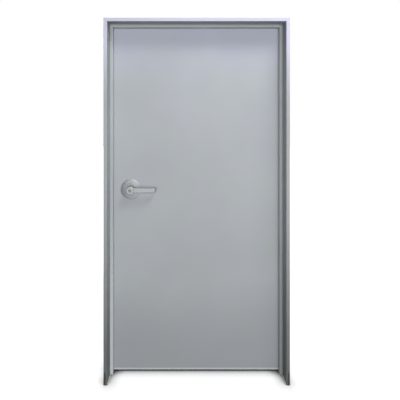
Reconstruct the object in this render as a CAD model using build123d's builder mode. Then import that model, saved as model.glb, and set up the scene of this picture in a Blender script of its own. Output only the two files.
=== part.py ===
"""Fire-rated steel door leaf in its folded steel frame, closed and latched.

Millimetres, +Z up. The origin is on the floor in the middle of the doorway, on the line of the floor
anchors' bolts, which is the middle of the stop. The side that is pushed to open faces -Y, the lock
is at -X and the hinges at +X, and the leaf swings away towards +Y.
"""
import os

from build123d import *

os.makedirs("parts", exist_ok=True)

# Leaf and the gaps around it
leaf_width = 1000.0
leaf_height = 2030.0
leaf_thickness = 50.0
undercut = 8.0
side_gap = 3.0
head_gap = 3.0
skin_sheet = 1.2
skin_fold = 2.0
seam_gap = 0.4
fit_gap = 0.2

# Frame of folded sheet
frame_depth = 180.0
frame_sheet = 1.5
frame_fold = 2.5
face_width = 20.0
return_length = 12.0
stop_depth = 33.0
stop_height = 17.0

# Smoke seal between stop and leaf
seal_gap = 4.0
seal_clearance = 0.3
seal_width = 10.0
seal_base = 1.2
seal_bulb = 2.6
seal_inset = 4.5
seal_foot_gap = 2.0

# Anchors and corner brackets
anchor_sheet = 2.5
floor_anchor_height = 40.0
floor_anchor_length = 30.0
floor_bolt_inset = 2.0
floor_bolt_radius = 4.5
strap_height = 40.0
strap_lip = 10.0
strap_hole_radius = 3.25
strap_hole_spacing = 80.0
strap_foot_margin = 300.0
strap_head_margin = 341.0
bracket_leg = 60.0
bracket_width = 14.0
bracket_sheet = 2.0

# Butt hinges
hinge_height = 114.0
hinge_width = 34.0
hinge_plate = 3.0
hinge_corner = 5.0
hinge_top_margin = 180.0
hinge_bottom_margin = 250.0
hinge_screw_inner = 10.0
hinge_screw_outer = 11.0
hinge_screw_end = 14.0
hinge_screw_spacing = 38.0
knuckles = 5
knuckle_radius = 6.5
knuckle_gap = 0.3
pin_radius = 4.0
pin_stand_off = 7.0
pin_head_radius = 5.6
pin_head = 3.0
pin_head_round = 1.0
running_clearance = 0.05
reinforcement_thickness = 4.0
reinforcement_lap = 22.0
reinforcement_side_lap = 10.0

# Countersunk screws
screw_radius = 2.5
screw_head_radius = 4.4
screw_clearance = 0.1

# Lock: height above the floor, distance of the lever's axis from the leaf's edge
lever_height = 1075.0
backset = 115.5
latch_travel = 11.0
bolt_depth = 12.0
bolt_height = 16.0
bolt_length = 41.0
bolt_nose = 2.0
bolt_flat = 1.0
rod_radius = 3.0
tube_radius = 12.5
tube_wall = 1.6
tube_end = 3.0
faceplate_height = 57.0
faceplate_width = 25.0
faceplate_thickness = 2.0
faceplate_corner = 3.0
faceplate_screw_inset = 6.0
cross_bore_radius = 27.0
chassis_wall = 1.5
chassis_length = 42.0
spindle_radius = 7.0
spindle_bore = 4.0
spindle_end_gap = 10.0
cam_thickness = 3.4
cam_ring = 2.0
cam_arm_width = 6.0
cam_arm_length = 16.5
retractor_sheet = 3.0
retractor_height = 32.0
retractor_tail = 12.0
retractor_tail_length = 14.0
shoulder_width = 3.0
spring_radius = 6.0
spring_wire = 2.0
spring_turns = 14

# Strike in the lock jamb
strike_height = 124.0
strike_width = 30.0
strike_thickness = 2.0
strike_corner = 2.0
strike_lip_height = 44.0
strike_lip_reach = 4.0
strike_lip_radius = 5.0
strike_screw_inset = 8.0
strike_box_wall = 1.0
strike_box_depth = 13.0
strike_mouth_gap = 1.5
strike_side_lap = 3.0

# Rose, its mount and the through bolts
rose_radius = 60.0
rose_sheet = 1.5
rim_height = 4.2
rim_bend = 3.0
dome_radius = 47.0
dome_height = 11.0
dome_bend = 40.0
boss_foot_radius = 36.0
boss_foot_height = 13.6
boss_foot_bend = 1.5
boss_radius = 34.0
boss_height = 18.8
boss_bend = 1.8
hub_clearance = 1.2
mount_sheet = 2.0
bearing_wall = 3.0
bearing_length = 12.0
through_bolt_offset = 38.0
through_bolt_radius = 2.5
post_radius = 4.5
post_length = 20.0
bolt_head_radius = 4.5
bolt_head = 3.0

# Lever
hub_radius = 23.0
neck_radius = 16.0
hub_start = 20.5
hub_end = 58.0
hub_round = 5.0
lever_length = 151.0
lever_stand_off = 46.0
lever_root_height = 30.0
lever_tip_height = 25.0
lever_section_depth = 14.0
lever_section_round = 5.8
lever_root_gap = 2.0
lever_tip_radius = 16.0
lever_tip_return = 9.0
lever_tip_round = 2.5
plug_radius = 10.0
plug_depth = 20.0
plug_proud = 0.6
keyway_width = 1.8
keyway_height = 9.0
keyway_depth = 10.0
button_radius = 8.0
button_grip = 13.0
button_grip_width = 5.0
button_grip_round = 1.2

# Bottom shoe and top channel
shoe_height = 10.0
shoe_sheet = 1.2
channel_depth = 25.0

# Places that follow from the sizes
stop_front = -stop_depth / 2
stop_back = stop_depth / 2
leaf_front = stop_back + seal_gap
leaf_back = leaf_front + leaf_thickness
leaf_middle = (leaf_front + leaf_back) / 2
frame_back = leaf_back
frame_front = frame_back - frame_depth
leaf_half = leaf_width / 2
leaf_bottom = undercut
leaf_top = undercut + leaf_height
rebate_half = leaf_half + side_gap
rebate_top = leaf_top + head_gap
outer_half = rebate_half + face_width
outer_top = rebate_top + face_width
stop_half = rebate_half - stop_height
stop_bottom = rebate_top - stop_height
pin_x = leaf_half + side_gap / 2
pin_y = leaf_back + pin_stand_off
hinge_heights = {
    "upper": leaf_top - hinge_top_margin - hinge_height / 2,
    "middle": (leaf_top - hinge_top_margin + leaf_bottom + hinge_bottom_margin) / 2,
    "lower": leaf_bottom + hinge_bottom_margin + hinge_height / 2,
}
lever_x = backset - leaf_half
hinge_recess_low = leaf_back - hinge_width - fit_gap
frame_room = frame_fold + fit_gap
skin_room = skin_fold + fit_gap
strap_heights = [
    strap_foot_margin,
    (strap_foot_margin + rebate_top - strap_head_margin) / 2,
    rebate_top - strap_head_margin,
]

# How far a cut runs past the surfaces that it opens, and the depth of a cut through any plate
beyond = 5.0
through = 20.0

MIN = Align.MIN
MAX = Align.MAX
MID = Align.CENTER


def keep(piece, name):
    """Label a finished piece and write it to its own file."""
    piece.part.label = name
    export_step(piece.part, f"parts/{name}.step")


def cut_box(low, high):
    """Take the box between two corners out of the part that is being built."""
    size = [b - a for a, b in zip(low, high)]
    with Locations(low):
        Box(*size, align=(MIN, MIN, MIN), mode=Mode.SUBTRACT)


def cut_along_y(x, z, radius):
    """Bore a hole right through the leaf along Y."""
    with Locations((x, leaf_middle, z)):
        Cylinder(radius, 2 * leaf_thickness, rotation=(90, 0, 0), mode=Mode.SUBTRACT)


# Folded sheets of the frame. The visible line of the profile is (out from the rebate face, depth).
def frame_section(plane):
    """The folded sheet's section in a plane whose X runs out from the rebate face and whose Y is the depth."""
    line = [
        (face_width, frame_front + return_length),
        (face_width, frame_front),
        (0, frame_front),
        (0, stop_front),
        (-stop_height, stop_front),
        (-stop_height, stop_back),
        (0, stop_back),
        (0, frame_back),
        (face_width, frame_back),
        (face_width, frame_back - return_length),
    ]
    with BuildSketch(plane) as section:
        with BuildLine():
            FilletPolyline(*line, radius=frame_fold)
            offset(amount=frame_sheet, side=Side.RIGHT)
        make_face()
    return section.sketch


def cut_mitre(points):
    """Take a prism along Y out of the part, from its outline in X and Z."""
    with BuildSketch(Plane.XZ.offset(-frame_back - beyond)) as outline:
        with BuildLine():
            Polyline(*points, close=True)
        make_face()
    extrude(outline.sketch, amount=frame_depth + 2 * beyond, mode=Mode.SUBTRACT)


def jamb_top_cut(side):
    """Outline above a jamb: level over its stop, then the mitre out to the frame's corner."""
    return [
        (side * (stop_half - beyond), rebate_top),
        (side * rebate_half, rebate_top),
        (side * outer_half, outer_top),
        (side * outer_half, outer_top + beyond),
        (side * (stop_half - beyond), outer_top + beyond),
    ]


def head_end_cut(side):
    """Outline past one end of the head: its stop butts on the jamb's stop, the rest is mitred."""
    return [
        (side * stop_half, stop_bottom - beyond),
        (side * stop_half, rebate_top),
        (side * rebate_half, rebate_top),
        (side * outer_half, outer_top),
        (side * (outer_half + beyond), outer_top),
        (side * (outer_half + beyond), stop_bottom - beyond),
    ]


hinge_jamb_plane = Plane(origin=(rebate_half, 0, 0), x_dir=(1, 0, 0), z_dir=(0, 0, 1))
lock_jamb_plane = Plane(origin=(-rebate_half, 0, 0), x_dir=(-1, 0, 0), z_dir=(0, 0, -1))
head_plane = Plane(origin=(0, 0, rebate_top), x_dir=(0, 0, 1), z_dir=(-1, 0, 0))

with BuildPart() as jamb_hinge_side:
    extrude(frame_section(hinge_jamb_plane), amount=outer_top)
    cut_mitre(jamb_top_cut(1))
    for height in hinge_heights.values():
        half = hinge_height / 2 + fit_gap
        cut_box(
            (rebate_half - beyond, hinge_recess_low, height - half),
            (rebate_half + hinge_plate + fit_gap, frame_back + beyond, height + half),
        )
keep(jamb_hinge_side, "jamb_hinge_side")

strike_low = leaf_middle - strike_width / 2
strike_high = leaf_middle + strike_width / 2
with BuildPart() as jamb_lock_side:
    extrude(frame_section(lock_jamb_plane), amount=-outer_top)
    cut_mitre(jamb_top_cut(-1))
    half = strike_height / 2 + fit_gap
    cut_box(
        (-rebate_half - strike_thickness, strike_low - fit_gap, lever_height - half),
        (-rebate_half + beyond, strike_high + fit_gap, lever_height + half),
    )
    lip_half = strike_lip_height / 2 + fit_gap
    cut_box(
        (-rebate_half - strike_thickness - strike_lip_reach, strike_high, lever_height - lip_half),
        (-rebate_half + beyond, frame_back + beyond, lever_height + lip_half),
    )
keep(jamb_lock_side, "jamb_lock_side")

with BuildPart() as frame_head:
    extrude(frame_section(head_plane), amount=outer_half, both=True)
    cut_mitre(head_end_cut(1))
    cut_mitre(head_end_cut(-1))
keep(frame_head, "frame_head")


# Corner brackets: one behind the front trim and one behind the back trim at each mitre.
def corner_brackets(side):
    """Two L-shaped plates welded behind the face trims of one corner."""
    inner = rebate_half + frame_room
    outer = inner + bracket_width
    low = rebate_top + frame_room
    high = low + bracket_width
    outline = [
        (side * inner, rebate_top - bracket_leg),
        (side * outer, rebate_top - bracket_leg),
        (side * outer, high),
        (side * (rebate_half - bracket_leg), high),
        (side * (rebate_half - bracket_leg), low),
        (side * inner, low),
    ]
    with BuildPart() as brackets:
        for back_of_plate in (frame_front + frame_sheet + bracket_sheet, frame_back - frame_sheet):
            with BuildSketch(Plane.XZ.offset(-back_of_plate)):
                with BuildLine():
                    Polyline(*outline, close=True)
                make_face()
            extrude(amount=bracket_sheet)
    return brackets


keep(corner_brackets(-1), "corner_brackets_lock_side")
keep(corner_brackets(1), "corner_brackets_hinge_side")


# Anchors in the jambs
def floor_anchor(side):
    """A clip in the hollow of the stop, with one hole for a bolt into the floor."""
    wall = stop_back - frame_sheet
    centre = side * (rebate_half + floor_bolt_inset)
    with BuildPart() as anchor:
        with BuildSketch(Plane.YZ.offset(centre - floor_anchor_length / 2)):
            with BuildLine():
                Polyline((-wall, floor_anchor_height), (-wall, 0), (wall, 0), (wall, floor_anchor_height))
                offset(amount=anchor_sheet, side=Side.LEFT)
            make_face()
        extrude(amount=floor_anchor_length)
        with Locations((centre, 0, anchor_sheet)):
            Hole(floor_bolt_radius)
    return anchor


keep(floor_anchor(-1), "floor_anchor_lock_side")
keep(floor_anchor(1), "floor_anchor_hinge_side")


def wall_anchors(side):
    """Three straps across one jamb's throat, each bent in at both ends against the face trims."""
    web = rebate_half + face_width - frame_room
    front = frame_front + frame_sheet
    back = frame_back - frame_sheet
    with BuildPart() as straps:
        for height in strap_heights:
            with BuildSketch(Plane.XY.offset(height - strap_height / 2)):
                with BuildLine():
                    Polyline(
                        (side * (web - strap_lip), front),
                        (side * web, front),
                        (side * web, back),
                        (side * (web - strap_lip), back),
                    )
                    offset(amount=frame_sheet, side=Side.LEFT if side > 0 else Side.RIGHT)
                make_face()
            extrude(amount=strap_height)
            for y in (-strap_hole_spacing / 2, strap_hole_spacing / 2):
                with Locations((side * web, y, height)):
                    Cylinder(strap_hole_radius, through, rotation=(0, 90, 0), mode=Mode.SUBTRACT)
    return straps


keep(wall_anchors(-1), "wall_anchors_lock_side")
keep(wall_anchors(1), "wall_anchors_hinge_side")


# Smoke seals on the shoulder of the stop: a flat base with a round bulb that the leaf presses on.
def seal_profile():
    """Draw the seal's section around the middle of its base, depth upwards."""
    with Locations((0, seal_base / 2)):
        Rectangle(seal_width, seal_base)
    with Locations((0, seal_gap - seal_clearance - seal_bulb)):
        Circle(seal_bulb)
    with Locations((0, -seal_bulb)):
        Rectangle(seal_width, 2 * seal_bulb, mode=Mode.SUBTRACT)


seal_middle = seal_inset + seal_width / 2
seal_start = leaf_bottom + shoe_height + seal_foot_gap
seal_end = rebate_top - seal_inset - seal_width - fit_gap
with BuildPart() as seal_hinge_side:
    with BuildSketch(Plane(origin=(rebate_half - seal_middle, stop_back, seal_start))):
        seal_profile()
    extrude(amount=seal_end - seal_start)
keep(seal_hinge_side, "seal_hinge_side")

with BuildPart() as seal_lock_side:
    with BuildSketch(Plane(origin=(seal_middle - rebate_half, stop_back, seal_start))):
        seal_profile()
    extrude(amount=seal_end - seal_start)
keep(seal_lock_side, "seal_lock_side")

with BuildPart() as seal_head:
    seal_head_origin = (0, stop_back, rebate_top - seal_middle)
    with BuildSketch(Plane(origin=seal_head_origin, x_dir=(0, 0, 1), z_dir=(-1, 0, 0))):
        seal_profile()
    extrude(amount=rebate_half - seal_inset, both=True)
keep(seal_head, "seal_head")


# Plates that are set flush behind a window in a sheet, and what their screws bite into
def stepped_plate(face, direction, sheet, recess, window, overall, height, low, high):
    """A thick plate behind a window: its pad carries the flush plate, its ends are welded to the sheet."""
    back = recess + reinforcement_thickness
    outline = [
        (sheet, -overall / 2),
        (sheet, -window / 2),
        (recess, -window / 2),
        (recess, window / 2),
        (sheet, window / 2),
        (sheet, overall / 2),
        (back, overall / 2),
        (back, -overall / 2),
    ]
    with BuildSketch(Plane.XZ.offset(-high)) as section:
        with BuildLine():
            Polyline(*[(face + direction * depth, height + z) for depth, z in outline], close=True)
        make_face()
    extrude(section.sketch, amount=high - low)


def screw_planes(face, direction, places):
    """A plane on each screw's head, with its normal pointing out of the face."""
    return [Plane(origin=(face, y, z), z_dir=(direction, 0, 0)) for y, z in places]


def cut_screw_holes(planes):
    """Countersunk holes from the given faces."""
    with Locations(*planes):
        CounterSinkHole(screw_radius + screw_clearance, screw_head_radius + screw_clearance, depth=through)


def cut_tapped_holes(planes):
    """Plain holes for the screws' shanks, as deep as the plate."""
    with Locations(*planes):
        Cylinder(screw_radius + screw_clearance, 2 * through, mode=Mode.SUBTRACT)


def screws(planes, length):
    """Countersunk screws with their heads flush in the given faces."""
    head_height = screw_head_radius - screw_radius
    with BuildPart() as group:
        with Locations(*planes):
            Cylinder(screw_radius, length, align=(MID, MID, MAX))
            Cone(screw_radius, screw_head_radius, head_height, align=(MID, MID, MAX))
    return group


# Butt hinges: two plates that close on the same gap, a pin, and knuckles in turn
def hinge_screw_places(height):
    """Four places of the screws of one hinge plate, in Y and Z."""
    inner = leaf_back - hinge_width + hinge_screw_inner
    outer = leaf_back - hinge_screw_outer
    end = hinge_height / 2 - hinge_screw_end
    near = hinge_screw_spacing / 2
    return [(inner, height - end), (outer, height - near), (outer, height + near), (inner, height + end)]


def hinge_leaf(face, direction, own_knuckles, height):
    """One hinge plate with its knuckles, its visible face at the given X."""
    pitch = hinge_height / knuckles
    plate_end = leaf_back - fit_gap
    with BuildPart() as plate:
        middle = (plate_end + leaf_back - hinge_width) / 2
        with BuildSketch(Plane(origin=(face, middle, height), x_dir=(0, 1, 0), z_dir=(-direction, 0, 0))):
            Rectangle(plate_end - leaf_back + hinge_width, hinge_height)
        extrude(amount=-hinge_plate)
        inner_edges = plate.edges().filter_by(Axis.X).group_by(Axis.Y)[0]
        fillet(inner_edges, hinge_corner)
        for index in own_knuckles:
            low = height - hinge_height / 2 + index * pitch + knuckle_gap / 2
            with Locations((face + direction * hinge_plate / 2, plate_end, low)):
                Box(hinge_plate, pin_y - plate_end, pitch - knuckle_gap, align=(MID, MIN, MIN))
            with Locations((pin_x, pin_y, low)):
                Cylinder(knuckle_radius, pitch - knuckle_gap, align=(MID, MID, MIN))
        with Locations((pin_x, pin_y, height)):
            Cylinder(pin_radius + running_clearance, 2 * hinge_height, mode=Mode.SUBTRACT)
        cut_screw_holes(screw_planes(face, -direction, hinge_screw_places(height)))
    return plate


frame_knuckles = range(0, knuckles, 2)
leaf_knuckles = range(1, knuckles, 2)
backing_low = leaf_front + skin_room
backing_high = leaf_back - skin_room
all_screw_places = []
for name, height in hinge_heights.items():
    frame_leaf = hinge_leaf(rebate_half, 1, frame_knuckles, height)
    keep(frame_leaf, f"hinge_{name}_frame_plate")
    door_leaf = hinge_leaf(leaf_half, -1, leaf_knuckles, height)
    keep(door_leaf, f"hinge_{name}_leaf_plate")

    with BuildPart() as pin:
        with Locations((pin_x, pin_y, height)):
            Cylinder(pin_radius, hinge_height)
        for end in (-1, 1):
            with Locations((pin_x, pin_y, height + end * (hinge_height + pin_head) / 2)):
                Cylinder(pin_head_radius, pin_head)
        fillet(pin.edges().filter_by(GeomType.CIRCLE).group_by(Axis.Z)[0], pin_head_round)
        fillet(pin.edges().filter_by(GeomType.CIRCLE).group_by(Axis.Z)[-1], pin_head_round)
    keep(pin, f"hinge_{name}_pin")

    window = hinge_height + 2 * fit_gap
    overall = hinge_height + 2 * reinforcement_lap
    places = hinge_screw_places(height)
    all_screw_places += places
    with BuildPart() as frame_backing:
        stepped_plate(
            rebate_half, 1, frame_sheet, hinge_plate, window, overall, height,
            hinge_recess_low - reinforcement_side_lap, frame_back - frame_room,
        )
        cut_tapped_holes(screw_planes(rebate_half, -1, places))
    keep(frame_backing, f"hinge_{name}_frame_reinforcement")
    with BuildPart() as leaf_backing:
        stepped_plate(
            leaf_half, -1, skin_sheet, hinge_plate, window, overall, height,
            backing_low, backing_high,
        )
        cut_tapped_holes(screw_planes(leaf_half, 1, places))
    keep(leaf_backing, f"hinge_{name}_leaf_reinforcement")

hinge_screw_length = hinge_plate + reinforcement_thickness
keep(screws(screw_planes(rebate_half, -1, all_screw_places), hinge_screw_length), "frame_hinge_screws")
keep(screws(screw_planes(leaf_half, 1, all_screw_places), hinge_screw_length), "leaf_hinge_screws")

# Strike: a flush plate with a curved lip, the box behind it, and its reinforcement
mouth_depth = bolt_depth + 2 * strike_mouth_gap
mouth_height = bolt_height + 2 * strike_mouth_gap
strike_places = [
    (leaf_middle, lever_height - strike_height / 2 + strike_screw_inset),
    (leaf_middle, lever_height + strike_height / 2 - strike_screw_inset),
]
strike_planes = screw_planes(-rebate_half, 1, strike_places)
with BuildPart() as strike_plate:
    with BuildSketch(Plane(origin=(-rebate_half, leaf_middle, lever_height), x_dir=(0, 1, 0), z_dir=(1, 0, 0))):
        RectangleRounded(strike_width, strike_height, strike_corner)
    extrude(amount=-strike_thickness)
    lip_end = frame_back + frame_sheet
    with BuildSketch(Plane.XY.offset(lever_height - strike_lip_height / 2)):
        with BuildLine():
            Line((-rebate_half, strike_high - strike_thickness), (-rebate_half, lip_end - strike_lip_radius))
            RadiusArc((-rebate_half, lip_end - strike_lip_radius), (-rebate_half - strike_lip_reach, lip_end),
                      strike_lip_radius)
            offset(amount=strike_thickness - fit_gap, side=Side.LEFT)
        make_face()
    extrude(amount=strike_lip_height)
    with Locations((-rebate_half, leaf_middle, lever_height)):
        Box(through, mouth_depth, mouth_height, mode=Mode.SUBTRACT)
    cut_screw_holes(strike_planes)
keep(strike_plate, "strike_plate")

box_face = -rebate_half - strike_thickness
with BuildPart() as strike_box:
    with Locations((box_face, leaf_middle, lever_height)):
        Box(strike_box_depth, mouth_depth + 2 * strike_box_wall, mouth_height + 2 * strike_box_wall,
            align=(MAX, MID, MID))
        Box(strike_box_depth - strike_box_wall, mouth_depth, mouth_height, align=(MAX, MID, MID),
            mode=Mode.SUBTRACT)
keep(strike_box, "strike_box")

with BuildPart() as strike_reinforcement:
    stepped_plate(
        -rebate_half, -1, frame_sheet, strike_thickness, strike_height + 2 * fit_gap,
        strike_height + 2 * reinforcement_lap, lever_height, strike_low - strike_side_lap,
        strike_high + strike_side_lap,
    )
    box_room = 2 * (strike_box_wall + fit_gap)
    with Locations((box_face, leaf_middle, lever_height)):
        Box(through, mouth_depth + box_room, mouth_height + box_room, mode=Mode.SUBTRACT)
    cut_tapped_holes(strike_planes)
keep(strike_reinforcement, "strike_reinforcement")
keep(screws(strike_planes, strike_thickness + reinforcement_thickness), "strike_screws")


# Leaf: two pans whose folded edges meet in the middle
def cut_leaf_fittings():
    """Windows for the hinges and the latch faceplate, the cross bore and the through bolts' holes."""
    for height in hinge_heights.values():
        half = hinge_height / 2 + fit_gap
        cut_box(
            (leaf_half - hinge_plate, hinge_recess_low, height - half),
            (leaf_half + beyond, leaf_back + beyond, height + half),
        )
    half_width = faceplate_width / 2 + fit_gap
    half_height = faceplate_height / 2 + fit_gap
    cut_box(
        (-leaf_half - beyond, leaf_middle - half_width, lever_height - half_height),
        (-leaf_half + faceplate_thickness, leaf_middle + half_width, lever_height + half_height),
    )
    cut_lock_bores()


def cut_lock_bores():
    """The cross bore and the two holes for the posts of the through bolts."""
    cut_along_y(lever_x, lever_height, cross_bore_radius)
    for offset_z in (-through_bolt_offset, through_bolt_offset):
        cut_along_y(lever_x, lever_height + offset_z, post_radius + fit_gap)


skin_bottom = leaf_bottom + shoe_sheet
with BuildPart() as leaf_front_skin:
    with BuildSketch(Plane.XY.offset(skin_bottom)):
        seam = leaf_middle - seam_gap / 2
        with BuildLine():
            FilletPolyline(
                (leaf_half, seam),
                (leaf_half, leaf_front),
                (-leaf_half, leaf_front),
                (-leaf_half, seam),
                radius=skin_fold,
            )
            offset(amount=skin_sheet, side=Side.RIGHT)
        make_face()
    extrude(amount=leaf_top - skin_bottom)
    cut_leaf_fittings()
keep(leaf_front_skin, "leaf_front_skin")

with BuildPart() as leaf_back_skin:
    with BuildSketch(Plane.XY.offset(skin_bottom)):
        seam = leaf_middle + seam_gap / 2
        with BuildLine():
            FilletPolyline(
                (leaf_half, seam),
                (leaf_half, leaf_back),
                (-leaf_half, leaf_back),
                (-leaf_half, seam),
                radius=skin_fold,
            )
            offset(amount=skin_sheet, side=Side.LEFT)
        make_face()
    extrude(amount=leaf_top - skin_bottom)
    cut_leaf_fittings()
keep(leaf_back_skin, "leaf_back_skin")

inner_front = leaf_front + skin_sheet + fit_gap
inner_back = leaf_back - skin_sheet - fit_gap
channel_bottom = leaf_top - channel_depth
with BuildPart() as leaf_top_channel:
    with BuildSketch(Plane.YZ.offset(skin_room - leaf_half)):
        with BuildLine():
            Polyline(
                (inner_front, channel_bottom),
                (inner_front, leaf_top),
                (inner_back, leaf_top),
                (inner_back, channel_bottom),
            )
            offset(amount=skin_sheet, side=Side.RIGHT)
        make_face()
    extrude(amount=2 * (leaf_half - skin_room))
keep(leaf_top_channel, "leaf_top_channel")

with BuildPart() as leaf_bottom_shoe:
    with BuildSketch(Plane.YZ.offset(-leaf_half)):
        with BuildLine():
            Polyline(
                (leaf_front, leaf_bottom + shoe_height),
                (leaf_front, skin_bottom),
                (leaf_back, skin_bottom),
                (leaf_back, leaf_bottom + shoe_height),
            )
            offset(amount=shoe_sheet, side=Side.RIGHT)
        make_face()
    extrude(amount=leaf_width)
keep(leaf_bottom_shoe, "leaf_bottom_shoe")

core_half = leaf_half - hinge_plate - reinforcement_thickness - 2 * fit_gap
core_bottom = skin_bottom + fit_gap
core_top = channel_bottom - fit_gap
with BuildPart() as leaf_core:
    with BuildSketch(Plane.XY.offset(core_bottom)):
        with Locations((0, leaf_middle)):
            Rectangle(2 * core_half, inner_back - inner_front)
    extrude(amount=core_top - core_bottom)
    cut_lock_bores()
    with Locations((-core_half - beyond, leaf_middle, lever_height)):
        Cylinder(tube_radius + fit_gap, backset, rotation=(0, 90, 0), align=(MID, MID, MIN), mode=Mode.SUBTRACT)
keep(leaf_core, "leaf_core")

# Latch in the leaf's edge
faceplate_places = [
    (leaf_middle, lever_height - faceplate_height / 2 + faceplate_screw_inset),
    (leaf_middle, lever_height + faceplate_height / 2 - faceplate_screw_inset),
]
faceplate_planes = screw_planes(-leaf_half, -1, faceplate_places)
with BuildPart() as latch_faceplate:
    face_plane = Plane(origin=(-leaf_half, leaf_middle, lever_height), x_dir=(0, -1, 0), z_dir=(-1, 0, 0))
    with BuildSketch(face_plane):
        RectangleRounded(faceplate_width, faceplate_height, faceplate_corner)
        Rectangle(bolt_depth + 2 * fit_gap, bolt_height + 2 * fit_gap, mode=Mode.SUBTRACT)
    extrude(amount=-faceplate_thickness)
    cut_screw_holes(faceplate_planes)
keep(latch_faceplate, "latch_faceplate")

with BuildPart() as lock_reinforcement:
    stepped_plate(
        -leaf_half, 1, skin_sheet, faceplate_thickness, faceplate_height + 2 * fit_gap,
        faceplate_height + 2 * reinforcement_lap, lever_height, backing_low, backing_high,
    )
    with Locations((-leaf_half, leaf_middle, lever_height)):
        Cylinder(tube_radius + fit_gap, through, rotation=(0, 90, 0), mode=Mode.SUBTRACT)
    cut_tapped_holes(faceplate_planes)
keep(lock_reinforcement, "lock_reinforcement")
keep(screws(faceplate_planes, faceplate_thickness + reinforcement_thickness), "latch_screws")

# The tube runs from behind the faceplate to just short of the retractor's tail
chassis_radius = cross_bore_radius - 2 * fit_gap
tube_start = -leaf_half + faceplate_thickness
tube_stop = lever_x - cross_bore_radius - retractor_tail_length
with BuildPart() as latch_tube:
    with BuildSketch(Plane(origin=(tube_start, leaf_middle, lever_height), z_dir=(1, 0, 0))):
        Circle(tube_radius)
        Circle(tube_radius - tube_wall, mode=Mode.SUBTRACT)
    extrude(amount=tube_stop - tube_start)
    with BuildSketch(Plane(origin=(tube_stop, leaf_middle, lever_height), z_dir=(-1, 0, 0))):
        Circle(tube_radius)
        Circle(rod_radius + fit_gap, mode=Mode.SUBTRACT)
    extrude(amount=tube_end)
keep(latch_tube, "latch_tube")

bolt_front = -leaf_half - latch_travel
bolt_rear = bolt_front + bolt_length
rod_end = tube_stop + retractor_tail_length / 2
with BuildPart() as latch_bolt:
    with Locations((bolt_front, leaf_middle, lever_height)):
        Box(bolt_length, bolt_depth, bolt_height, align=(MIN, MID, MID))
    with BuildSketch(Plane.XY.offset(lever_height - bolt_height / 2)):
        with BuildLine():
            Polyline(
                (bolt_front, leaf_middle - bolt_depth / 2),
                (bolt_front + latch_travel - bolt_flat, leaf_middle - bolt_depth / 2),
                (bolt_front, leaf_middle + bolt_depth / 2 - bolt_nose),
                close=True,
            )
        make_face()
    extrude(amount=bolt_height, mode=Mode.SUBTRACT)
    with BuildSketch(Plane(origin=(bolt_rear, leaf_middle, lever_height), z_dir=(1, 0, 0))):
        Circle(rod_radius)
    extrude(amount=rod_end - bolt_rear)
keep(latch_bolt, "latch_bolt")

# The spring is a close coil, drawn as a sleeve with one ridge for each turn
spring_start = bolt_rear
spring_length = tube_stop - tube_end - spring_start
spring_axis = Axis((0, leaf_middle, lever_height), (1, 0, 0))
with BuildPart() as latch_spring:
    with BuildSketch(Plane(origin=(spring_start, leaf_middle, lever_height), z_dir=(0, 0, 1))):
        pitch = spring_length / spring_turns
        crest = spring_radius
        root = spring_radius - spring_wire / 2
        inside = rod_radius + 2 * fit_gap
        waves = []
        for turn in range(spring_turns):
            waves += [(turn * pitch, root), ((turn + 0.5) * pitch, crest)]
        with BuildLine():
            Polyline((0, inside), *waves, (spring_length, root), (spring_length, inside), close=True)
        make_face()
    revolve(axis=spring_axis)
keep(latch_spring, "latch_spring")

# Chassis in the cross bore: a drum with a window for the retractor's tail
tail_window = retractor_tail + 4 * fit_gap
with BuildPart() as lock_chassis:
    with Locations((lever_x, leaf_middle, lever_height)):
        Cylinder(chassis_radius, chassis_length, rotation=(90, 0, 0))
        Cylinder(chassis_radius - chassis_wall, chassis_length - 2 * chassis_wall, rotation=(90, 0, 0),
                 mode=Mode.SUBTRACT)
        Cylinder(spindle_radius + running_clearance, 2 * chassis_length, rotation=(90, 0, 0),
                 mode=Mode.SUBTRACT)
        Box(2 * chassis_radius, tail_window, tail_window, align=(MAX, MID, MID), mode=Mode.SUBTRACT)
keep(lock_chassis, "lock_chassis")

with BuildPart() as spindle:
    spindle_length = leaf_thickness + 2 * (hub_end - plug_depth - spindle_end_gap)
    with Locations((lever_x, leaf_middle, lever_height)):
        Cylinder(spindle_radius, spindle_length, rotation=(90, 0, 0))
        Cylinder(spindle_bore, spindle_length, rotation=(90, 0, 0), mode=Mode.SUBTRACT)
keep(spindle, "spindle")

lock_plane = Plane(origin=(lever_x, leaf_middle, lever_height), x_dir=(1, 0, 0), z_dir=(0, -1, 0))
with BuildPart() as latch_cam:
    with BuildSketch(lock_plane):
        Circle(spindle_radius + cam_ring)
        with Locations((0, cam_arm_length / 2)):
            Rectangle(cam_arm_width, cam_arm_length)
        Circle(spindle_radius + running_clearance, mode=Mode.SUBTRACT)
    extrude(amount=cam_thickness / 2, both=True)
keep(latch_cam, "latch_cam")

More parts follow.
